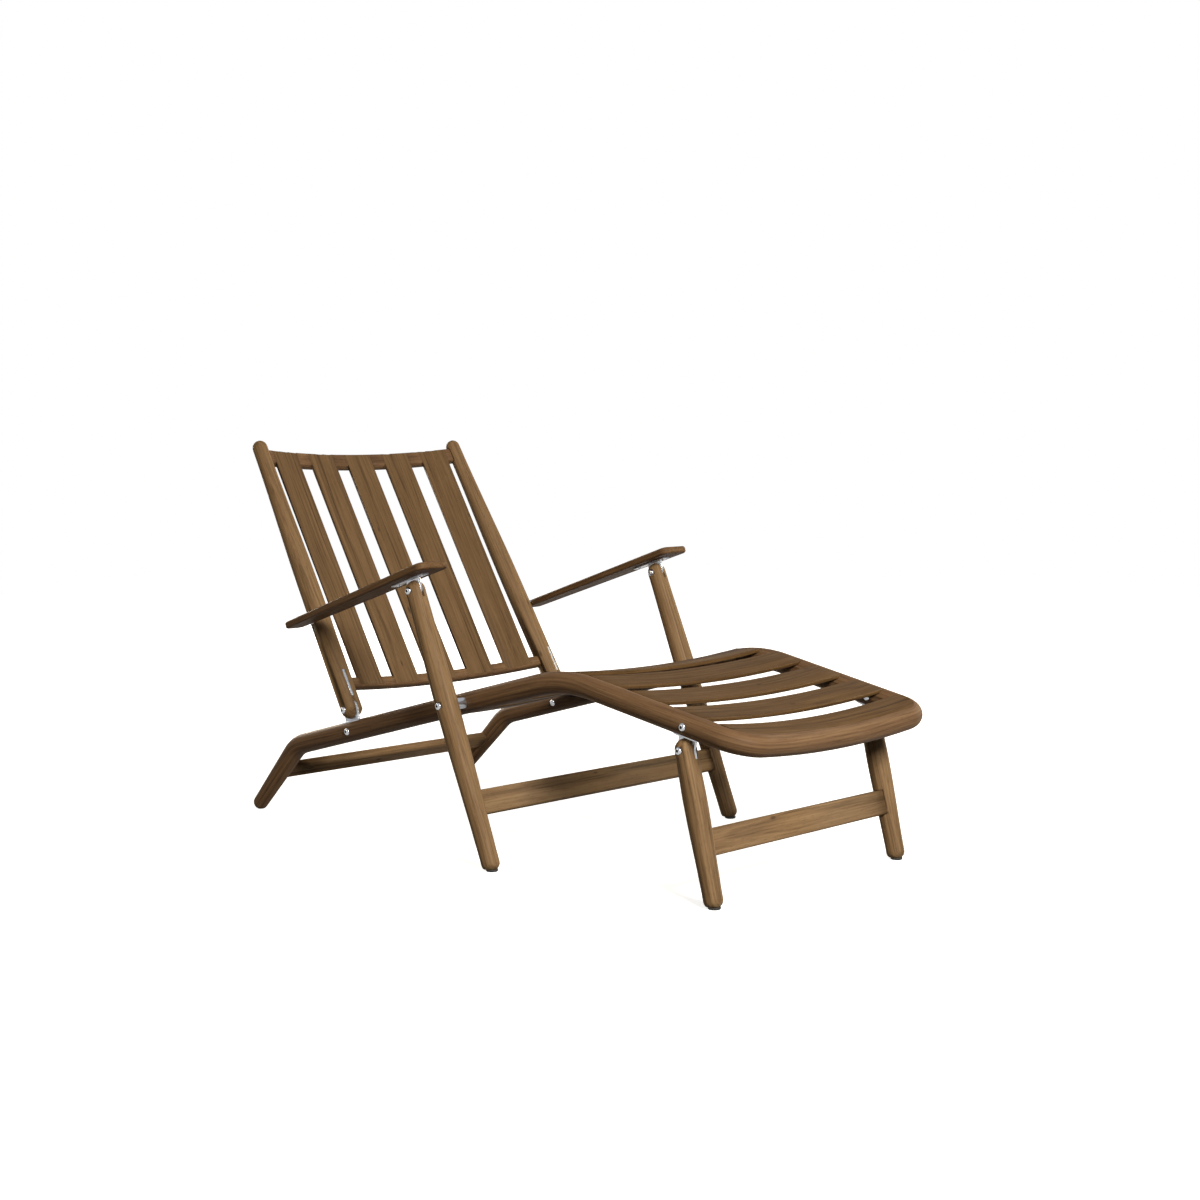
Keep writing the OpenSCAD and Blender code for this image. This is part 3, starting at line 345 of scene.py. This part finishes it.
# The painted shade in the socket wavers a little every 2.5 mm
shade_wobble = add(tree, "ShaderNodeTexNoise", {"Scale": 400.0, "Detail": 2.0}, {"Vector": place.outputs["Object"]})
shade = add(tree, "ShaderNodeValToRGB", links={0: shade_wobble.outputs[0]})
shade.color_ramp.elements[0].color = linear("#1f1f20")
shade.color_ramp.elements[1].color = linear("#38383a")
socket_shade_surface = add(tree, "ShaderNodeBsdfPrincipled", {"Roughness": 0.55, "Metallic": 0.6},
            {"Base Color": shade.outputs[0]})
add(tree, "ShaderNodeOutputMaterial", links={"Surface": socket_shade_surface.outputs[0]})

glide_rubber, tree = new_material("moulded_black_rubber")
place = add(tree, "ShaderNodeTexCoord")
# The mould's texture, some 1.5 mm from grain to grain
speck = add(tree, "ShaderNodeTexNoise", {"Scale": 650.0, "Detail": 2.0},
            {"Vector": place.outputs["Object"]})
shade = add(tree, "ShaderNodeValToRGB", links={0: speck.outputs[0]})
shade.color_ramp.elements[0].color = linear("#141414")
shade.color_ramp.elements[1].color = linear("#262625")
bump = add(tree, "ShaderNodeBump", {"Strength": 0.4, "Distance": 0.0003}, {"Height": speck.outputs[0]})
rubber = add(tree, "ShaderNodeBsdfPrincipled", {"Roughness": 0.7, "IOR": 1.52},
             {"Base Color": shade.outputs[0], "Normal": bump.outputs[0]})
add(tree, "ShaderNodeOutputMaterial", links={"Surface": rubber.outputs[0]})
print("hardware:", [m.name for m in (plate_steel, bolt_steel, socket_painted_shade, glide_rubber)])

# %% [markdown]
# The sizes below are those of the solids, in millimetres, and the hinges
# give the places. They are needed only to know how each blank was bent and
# laid.

# %% Sizes and frames
MM = 0.001
joint_at = {j["name"]: np.array(j["pos_m"]) for j in frame["joints"]}
rail_half, rail_toe = 272 * MM, math.radians(1.8)
seat_slope, foot_slope = math.radians(15), math.radians(10.8)
seat_front, seat_back, foot_len = 250 * MM, 528 * MM, 405 * MM
rear_leg_slope, elbow_tilt = math.radians(44.6), math.radians(6)
knee_r, elbow_r = 300 * MM, 90 * MM
back_lean, stile_half, stile_splay = math.radians(31.6), 281 * MM, math.radians(1.5)
leg_half, leg_lean = 330 * MM, math.radians(22.8)
foot_leg_half, foot_leg_lean = 257 * MM, math.radians(14.2)
arm_slope = math.radians(18.1)
corner_r, dip_angle = 50 * MM, math.radians(5.8)
rod_r, rear_foot_r, rear_leg_len = 20 * MM, 15.5 * MM, 174 * MM
seat_bow_r, back_bow_r = 2750 * MM, 1375 * MM
seat_slats, back_slats = 10, 5

leg_pivot = joint_at["front_leg_fold"]
back_pivot = joint_at["back_fold"]
foot_pivot = joint_at["foot_leg_fold"]
arm_pivot = joint_at["arm_left_pivot"]


def tipped(angle):
    """Rows x, along, up of a frame tipped about X: along is (0, cos a, sin a), up is square to it."""
    c, s = math.cos(angle), math.sin(angle)
    return np.array([[1, 0, 0], [0, c, s], [0, -s, c]])


print("hinges:", {name: [round(float(v), 3) for v in at] for name, at in joint_at.items()})

# %% [markdown]
# Each solid is dressed as a copy of itself, because the frame's own meshes
# stay as they are. The copy's loose triangles are joined, its sharp edges
# are kept sharp, and the blank coordinates go on its points.

# %% Copy a solid and give it its blank
weld = 2e-6
# The frame's three rails share one number; the other pieces count on from a later one
frame_number, first_number = 7, 10
piece_count = 0


def points_of(mesh):
    """All the points of a mesh as one array."""
    flat = np.empty(len(mesh.vertices) * 3)
    mesh.vertices.foreach_get("co", flat)
    return flat.reshape(-1, 3)


def lay_blank(mesh, blank, number=None):
    """Write the blank coordinates, moved apart by the piece's number, so that no two are cut alike."""
    global piece_count
    piece_count += 1
    number = number or first_number + piece_count
    move = np.array([0.731 * number, 0.021 * math.sin(2.4 * number), 0.017 * math.cos(1.7 * number)])
    layer = mesh.attributes.new("blank", "FLOAT_VECTOR", "POINT")
    layer.data.foreach_set("vector", (blank + move).ravel())


def ease(piece, width):
    """A small round on every edge sharper than 40 degrees, as polishing leaves it."""
    bevel = piece.modifiers.new("eased_edges", "BEVEL")
    bevel.width = width
    bevel.segments = 2
    bevel.limit_method = "ANGLE"
    bevel.angle_limit = math.radians(40)
    bevel.miter_outer = "MITER_ARC"


def dress(node, material, blank=None, easing=0.0, number=None, sharp=40):
    """A joined copy of a solid that stands for it; edges that turn more than sharp degrees stay sharp."""
    source = frame["nodes"][node]
    mesh = source.data.copy()
    mesh.name = node + "_dressed"
    work = bmesh.new()
    work.from_mesh(mesh)
    bmesh.ops.remove_doubles(work, verts=work.verts, dist=weld)
    work.to_mesh(mesh)
    work.free()
    mesh.materials.clear()
    mesh.materials.append(material)
    mesh.shade_smooth()
    mesh.set_sharp_from_angle(angle=math.radians(sharp))
    piece = bpy.data.objects.new(node + "_dressed", mesh)
    bpy.context.scene.collection.objects.link(piece)
    if blank is not None:
        lay_blank(mesh, blank(points_of(mesh)), number)
    if easing:
        ease(piece, easing)
    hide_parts(node)
    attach(piece, source["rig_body"])
    return piece


def straight(origin, axes):
    """Blank coordinates of a straight piece: (point - origin) measured along, across and deep."""
    return lambda points: (points - origin) @ np.array(axes).T


print("easing and blanks ready for", len(frame["nodes"]), "solids")

# %% [markdown]
# A bent rail follows a line: straight, a wide bend at the knee, straight, a
# tight bend at the elbow, and the straight rear leg. The line is worked out
# as points, and a frame is carried along it without twisting. Each point of
# the rail then finds its nearest place on the line.

# %% Lines for bent pieces
def along_line(line, across):
    """Blank coordinates from the nearest place on a line, in a frame carried along it."""
    line = np.array(line)
    step = np.gradient(line, axis=0)
    tangent = step / np.linalg.norm(step, axis=1)[:, None]
    gone = np.concatenate([[0], np.cumsum(np.linalg.norm(np.diff(line, axis=0), axis=1))])
    side = np.empty_like(line)
    side[0] = across
    for i in range(1, len(line)):
        v = side[i - 1] - tangent[i] * (side[i - 1] @ tangent[i])
        side[i] = v / np.linalg.norm(v)
    deep = np.cross(tangent, side)

    def blank(points):
        near = ((points[:, None, :] - line[None]) ** 2).sum(2).argmin(1)
        off = points - line[near]
        return np.stack([gone[near] + (off * tangent[near]).sum(1), (off * side[near]).sum(1),
                         (off * deep[near]).sum(1)], axis=1)
    return blank


def stretch(a, b, count):
    """Points evenly spaced from a up to b."""
    return a + (b - a) * np.linspace(0, 1, count)[:, None]


print("two points 1 m apart, in three:", stretch(np.zeros(1), np.ones(1), 3).ravel())

# %% [markdown]
# The side rails. Each stands in its own upright plane, toed in a little
# toward the foot end. The elbow's bend is turned inward by 6 degrees, so
# the rear legs close in toward the floor. The line runs on a little past the
# rear foot, and the leg's taper is measured back from its end.

# %% Side rails
leg_line = 200 * MM
leg_line_from = 20 * MM


def rail_line(side):
    """The axis of one side rail, from the foot end to the rear foot."""
    def place(x, y, z):
        c, s = math.cos(rail_toe), math.sin(rail_toe)
        turned = np.stack([c * x + side * s * y, -side * s * x + c * y, z + 0 * y], axis=-1)
        return turned + np.array([side * rail_half, leg_pivot[1], leg_pivot[2]])

    def side_dir(a):
        return np.array([math.cos(a), math.sin(a)])

    knee = -seat_front * side_dir(-seat_slope)
    elbow = seat_back * side_dir(-seat_slope)
    start = knee - foot_len * side_dir(foot_slope)
    turn = foot_slope + seat_slope
    reach = knee_r * math.tan(turn / 2)
    centre = knee - reach * side_dir(foot_slope) + knee_r * side_dir(foot_slope - math.pi / 2)
    a = np.linspace(foot_slope + math.pi / 2, math.pi / 2 - seat_slope, 40)
    knee_bend = centre + knee_r * np.stack([np.cos(a), np.sin(a)], axis=1)
    elbow_turn = rear_leg_slope - seat_slope
    elbow_start = elbow - elbow_r * math.tan(elbow_turn / 2) * side_dir(-seat_slope)
    plane = np.concatenate([stretch(start, knee_bend[0], 12)[:-1], knee_bend,
                            stretch(knee_bend[-1], elbow_start, 30)[1:]])
    line = place(0 * plane[:, 0], plane[:, 0], plane[:, 1])
    # The elbow and the rear leg: u runs on along the seat, v away from it and inward
    t = np.linspace(0, elbow_turn, 24)[1:]
    down = np.linspace(leg_line_from, leg_line, 12)
    u = np.concatenate([elbow_r * np.sin(t), elbow_r * math.sin(elbow_turn)
                        + down * math.cos(elbow_turn)])
    v = np.concatenate([elbow_r * (1 - np.cos(t)), elbow_r * (1 - math.cos(elbow_turn))
                        + down * math.sin(elbow_turn)])
    yz = elbow_start + u[:, None] * side_dir(-seat_slope) \
        - v[:, None] * math.cos(elbow_tilt) * side_dir(math.pi / 2 - seat_slope)
    return np.concatenate([line, place(-side * v * math.sin(elbow_tilt), yz[:, 0], yz[:, 1])])


right_line, left_line = rail_line(1), rail_line(-1)
print("side rail line:", len(right_line), "points, down to z =", round(float(right_line[-1, 2]), 3))

# %% [markdown]
# The foot end rail is bent round both corners and dips between them. In the
# photograph the grain runs on from the side rails without a break, so all
# three rails share one line, from rear foot to rear foot, and one blank.

# %% The line of the whole frame
corner_room = 4 * MM


def end_rail_line():
    """The foot end rail's axis: a corner arc tipped by the dip angle, a shallow arc, the other corner."""
    foot_end = -seat_front * np.array([math.cos(seat_slope), -math.sin(seat_slope)]) \
        - foot_len * np.array([math.cos(foot_slope), math.sin(foot_slope)])
    end_x = rail_half + foot_end[0] * math.cos(rail_toe) * math.tan(rail_toe)
    toe = math.asin(math.sin(rail_toe) * math.cos(foot_slope))
    turn = math.pi / 2 - math.atan(math.tan(toe) * math.cos(dip_angle))
    inward, run = corner_r * (1 - math.cos(turn)), corner_r * math.sin(turn)
    start_y = run * math.cos(toe) - inward * math.sin(toe) * math.cos(dip_angle)
    start_x = end_x + start_y * math.tan(toe)
    phi = np.linspace(0, -turn, 24)
    flat = corner_r * np.stack([np.cos(phi) - 1, np.sin(phi), 0 * phi], axis=1)
    tip = Matrix.Rotation(-toe, 3, "Z") @ Matrix.Rotation(-dip_angle, 3, "Y")
    corner = flat @ np.array(tip).T + np.array([start_x, start_y, 0])
    cross_x = start_x - inward * math.cos(toe) * math.cos(dip_angle) - run * math.sin(toe)
    cross_dip = math.atan2(math.sin(turn) * math.sin(dip_angle), math.cos(turn) * math.sin(toe)
                           + math.sin(turn) * math.cos(toe) * math.cos(dip_angle))
    dip_r = cross_x / math.sin(cross_dip)
    dip_centre = dip_r * math.cos(cross_dip) - inward * math.sin(dip_angle)
    t = np.linspace(cross_dip, -cross_dip, 41)[1:-1]
    across = np.stack([dip_r * np.sin(t), 0 * t, dip_centre - dip_r * np.cos(t)], axis=1)
    other = corner[::-1] * np.array([-1, 1, 1])
    local = np.concatenate([corner, across, other])
    slope = math.atan(math.tan(foot_slope) / math.cos(rail_toe))
    axes = tipped(slope)
    origin = leg_pivot + np.array([0, foot_end[0] * math.cos(rail_toe), foot_end[1]])
    return origin + local @ axes


end_line = end_rail_line()
keep = right_line[:, 1] > end_line[0, 1] + corner_room
frame_line = np.concatenate([left_line[keep][::-1], end_line[::-1], right_line[keep]])
frame_blank = along_line(frame_line, (1, 0, 0))
print("frame rod:", round(float(np.linalg.norm(np.diff(frame_line, axis=0), axis=1).sum()), 3), "m long")

# %% [markdown]
# The solids step by a tenth of a millimetre where a bend meets a straight
# run. A sanded rod has no step, so the copy's points near the rod's surface
# move onto it, and their normals point straight out from the line. The rod
# is 20 mm in radius and narrows to 15.5 mm down each rear leg.

# %% Rails
skin_depth, taper_slack = 0.3 * MM, 0.01 * MM
facing_out, sliver = 0.95, 1e-8


def on_rod(mesh, line, rod):
    """Move points near the rod's surface onto it, and let the shading there point out from the line."""
    points = points_of(mesh)
    near = ((points[:, None, :] - line[None]) ** 2).sum(2).argmin(1)
    step = np.gradient(line, axis=0)
    tangent = (step / np.linalg.norm(step, axis=1)[:, None])[near]
    off = points - line[near]
    out = off - tangent * (off * tangent).sum(1)[:, None]
    radius = np.linalg.norm(out, axis=1)
    skin = np.abs(radius - rod[near]) < skin_depth
    flush = skin & (rod[near] > rod_r - taper_slack)
    points = np.where(flush[:, None], points + out * ((rod_r - radius) / radius)[:, None], points)
    mesh.vertices.foreach_set("co", points.ravel())
    mesh.update()
    corners = np.empty(len(mesh.loops), int)
    mesh.loops.foreach_get("vertex_index", corners)
    faces = corners.reshape(-1, 3)
    a, b, c = (points[faces[:, i]] for i in range(3))
    normal = np.cross(b - a, c - a)
    area = np.linalg.norm(normal, axis=1)
    radial = out / np.maximum(radius, 1e-9)[:, None]
    facing = (normal[:, None, :] * radial[faces]).sum(2).min(1) / np.maximum(area, 1e-15)
    smooth = skin[faces].all(1) & ((facing > facing_out) | (area < sliver))
    shading = np.where(np.repeat(smooth, 3)[:, None], radial[corners], 0.0)
    mesh.normals_split_custom_set(shading.tolist())


# How far each point of the line lies from its nearer end, and the rod's radius there
run = np.concatenate([[0], np.cumsum(np.linalg.norm(np.diff(frame_line, axis=0), axis=1))])
from_end = np.minimum(run, run[-1] - run)
rod_radius = rod_r - (rod_r - rear_foot_r) * np.clip((leg_line - from_end) / rear_leg_len, 0, 1)

for node in ("side_rail_left", "side_rail_right", "foot_end_rail"):
    rail = dress(node, teak_bent, frame_blank, number=frame_number)
    on_rod(rail.data, frame_line, rod_radius)

# %% [markdown]
# The seat slats are boards bowed to the sitter. Each runs across the chair,
# and its blank follows the bow: x along, r - sqrt(r^2 - x^2) upward. Their
# ends meet the rails at a low angle, so edges above 20 degrees stay sharp.

# %% Seat slats
middle_part = 0.2


def bowed(node, radius, up):
    """Blank of a board across the chair whose middle is lowest along up: an arc of that radius."""
    low, high = (np.array(v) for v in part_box(node))
    half = high[0]
    points = points_of(frame["nodes"][node].data)
    inner = points[np.abs(points[:, 0]) < middle_part * half]
    centre = inner.mean(0) if len(inner) else (low + high) / 2
    bottom = centre * np.array([0, 1, 1])
    x = np.linspace(-half, half, 61)
    lift = radius - np.sqrt(radius ** 2 - x ** 2)
    line = bottom + lift[:, None] * up
    line[:, 0] = x
    return along_line(line, np.cross(up, (1, 0, 0)))


for i in range(1, seat_slats + 1):
    node = "seat_slat_%d" % i
    dress(node, teak_slats, bowed(node, seat_bow_r, tipped(-seat_slope)[2]), sharp=20)
print("seat slats:", seat_slats)

# %% [markdown]
# The stiles and the legs were turned on a lathe from straight squares.

# %% Turned pieces
for side, word in ((-1, "left"), (1, "right")):
    back = tipped(-back_lean)
    lean_in = np.array([-side * math.sin(stile_splay), 0, 0]) + back[2] * math.cos(stile_splay)
    dress("back_stile_" + word, teak_turned,
          straight(back_pivot + np.array([side * stile_half, 0, 0]), [lean_in, back[0], back[1]]))
    leg = tipped(-leg_lean)
    dress("front_leg_" + word, teak_turned,
          straight(leg_pivot + np.array([side * leg_half, 0, 0]), [leg[2], leg[0], leg[1]]))
    leg = tipped(-foot_leg_lean)
    dress("foot_leg_" + word, teak_turned,
          straight(foot_pivot + np.array([side * foot_leg_half, 0, 0]), [leg[2], leg[0], leg[1]]))
print("turned pieces: two stiles, two front legs, two foot legs")

# %% [markdown]
# The stretchers tie each pair of legs, and the two rails of the back carry
# its slats. Their long edges are rounded in the solids already.

# %% Stretchers and back rails
for node, angle in (("front_stretcher", -leg_lean), ("foot_stretcher", -foot_leg_lean),
                    ("rear_stretcher", -rear_leg_slope)):
    low, high = (np.array(v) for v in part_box(node))
    axes = tipped(angle)
    dress(node, teak_turned, straight((low + high) / 2, [axes[0], axes[2], axes[1]]))

back_axes = tipped(-back_lean)
for node in ("back_top_rail", "back_bottom_rail"):
    dress(node, teak_bent, bowed(node, back_bow_r, -back_axes[1]))
print("three stretchers, two back rails")

# %% [markdown]
# The back slats stand upright in the hollow of the back.

# %% Back slats
for i in range(1, back_slats + 1):
    low, high = (np.array(v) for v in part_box("back_slat_%d" % i))
    dress("back_slat_%d" % i, teak_back,
          straight((low + high) / 2, [back_axes[2], back_axes[0], back_axes[1]]))
print("back slats:", back_slats)

# %% [markdown]
# The arms are flat boards that narrow toward the rear, with well rounded
# edges. The outline is the solid's own top face. Round the board it is drawn
# in by r (1 - cos a) while the height changes by r (1 - sin a), for a from 0
# at the side to a right angle at the flat.

# %% Arms
arm_axes = tipped(-arm_slope)
edge_r = 4.5 * MM
edge_steps = 5


def board_rings(outline, low, high, r):
    """Rings of points and their normals, from the flat underside round the edge to the flat top."""
    before = np.roll(outline, 1, axis=0)
    after = np.roll(outline, -1, axis=0)
    sides = [np.stack([d[:, 1], -d[:, 0]], axis=1) / np.linalg.norm(d, axis=1)[:, None]
             for d in (outline - before, after - outline)]
    out = sides[0] + sides[1]
    mitre = out / (1 + (sides[0] * sides[1]).sum(1))[:, None]
    out /= np.linalg.norm(out, axis=1)[:, None]
    points, normals = [], []
    angles = np.linspace(math.pi / 2, 0, edge_steps)
    for a, base, sign in [(a, low, -1) for a in angles] + [(a, high, 1) for a in angles[::-1]]:
        flat = outline - mitre * r * (1 - math.cos(a))
        height = base - sign * r * (1 - math.sin(a))
        points.append(np.column_stack([flat, np.full(len(flat), height)]))
        normals.append(np.column_stack([out * math.cos(a), np.full(len(flat), sign * math.sin(a))]))
    return np.array(points), np.array(normals)


def eased_board(node, origin, axes, r):
    """A board with rounded edges in place of a flat solid; axes are the rows x, along, up."""
    local = (points_of(frame["nodes"][node].data) - origin) @ np.array(axes).T
    low, high = local[:, 2].min(), local[:, 2].max()
    top = np.unique(np.round(local[local[:, 2] > high - 0.01 * MM][:, :2], 6), axis=0)
    middle = top.mean(0)
    outline = top[np.argsort(np.arctan2(top[:, 1] - middle[1], top[:, 0] - middle[0]))]
    points, normals = board_rings(outline, low, high, r)
    rings, n = points.shape[:2]
    faces = [(k * n + i, k * n + (i + 1) % n, (k + 1) * n + (i + 1) % n, (k + 1) * n + i)
             for k in range(rings - 1) for i in range(n)]
    faces += [tuple(range(n))[::-1], tuple(range((rings - 1) * n, rings * n))]
    mesh = bpy.data.meshes.new(node + "_dressed")
    mesh.from_pydata((origin + points.reshape(-1, 3) @ np.array(axes)).tolist(), [], faces)
    mesh.shade_smooth()
    mesh.normals_split_custom_set_from_vertices((normals.reshape(-1, 3) @ np.array(axes)).tolist())
    mesh.materials.append(teak_arms)
    lay_blank(mesh, points.reshape(-1, 3)[:, [1, 0, 2]])
    board = bpy.data.objects.new(node + "_dressed", mesh)
    bpy.context.scene.collection.objects.link(board)
    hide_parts(node)
    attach(board, frame["nodes"][node]["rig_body"])
    return board


for side, word in ((-1, "left"), (1, "right")):
    board = eased_board("arm_" + word, arm_pivot + np.array([side * leg_half, 0, 0]), arm_axes, edge_r)
    print(board.name, "points:", len(board.data.vertices))

# %% [markdown]
# Plates, bolts, nuts, spacers and pins are steel, and the glides rubber. The
# plates were cut from sheet, so their edges are eased a little.

# %% Hardware
plate_ease, thin_plate_ease = 0.5 * MM, 0.4 * MM
for word in ("left", "right"):
    for kind in ("back_hinge_plate_", "foot_hinge_plate_", "arm_hinge_plate_"):
        dress(kind + word, plate_steel, easing=plate_ease)
    dress("arm_screws_" + word, bolt_steel)
dress("back_stop_plates", plate_steel, easing=thin_plate_ease)
dress("leg_spacers", plate_steel)
for node in ("rail_bolt_nuts", "back_pivot_nuts", "arm_link_pins", "leg_pivot_nuts", "arm_pivot_nuts",
             "foot_pivot_nuts"):
    dress(node, bolt_steel)
for node in ("front_leg_glides", "foot_leg_glides"):
    dress(node, glide_rubber)

# %% [markdown]
# Each bolt's head has a six-sided socket, and it is painted near-black as painted shade for the recess.
# A face belongs to a socket when all its points lie within 3 mm of the
# bolt's axis, because the shank is thicker than that.

# %% Bolts with sockets painted in shade
socket_r = 3.0 * MM


def separate_parts(mesh):
    """For each point, the number of the loose part it belongs to: the lowest number spreads along edges."""
    part = np.arange(len(mesh.vertices))
    ends = np.empty(len(mesh.edges) * 2, int)
    mesh.edges.foreach_get("vertices", ends)
    ends = ends.reshape(-1, 2)
    while True:
        least = np.minimum(part[ends[:, 0]], part[ends[:, 1]])
        spread = part.copy()
        np.minimum.at(spread, ends[:, 0], least)
        np.minimum.at(spread, ends[:, 1], least)
        spread = spread[spread]
        if (spread == part).all():
            return part
        part = spread


dark_faces = 0
for node in ("rail_bolts", "back_pivot_bolts", "leg_pivot_bolts", "arm_pivot_bolts", "foot_pivot_bolts"):
    mesh = dress(node, bolt_steel).data
    # The second material is the painted shade for the sockets
    mesh.materials.append(socket_painted_shade)
    points, part = points_of(mesh), separate_parts(mesh)
    off_axis = np.empty(len(points))
    for number in np.unique(part):
        mine = part == number
        yz = points[mine][:, 1:]
        off_axis[mine] = np.linalg.norm(yz - (yz.min(0) + yz.max(0)) / 2, axis=1)
    for face in mesh.polygons:
        if off_axis[list(face.vertices)].max() < socket_r:
            face.material_index = 1
            dark_faces += 1
print("socket faces:", dark_faces)
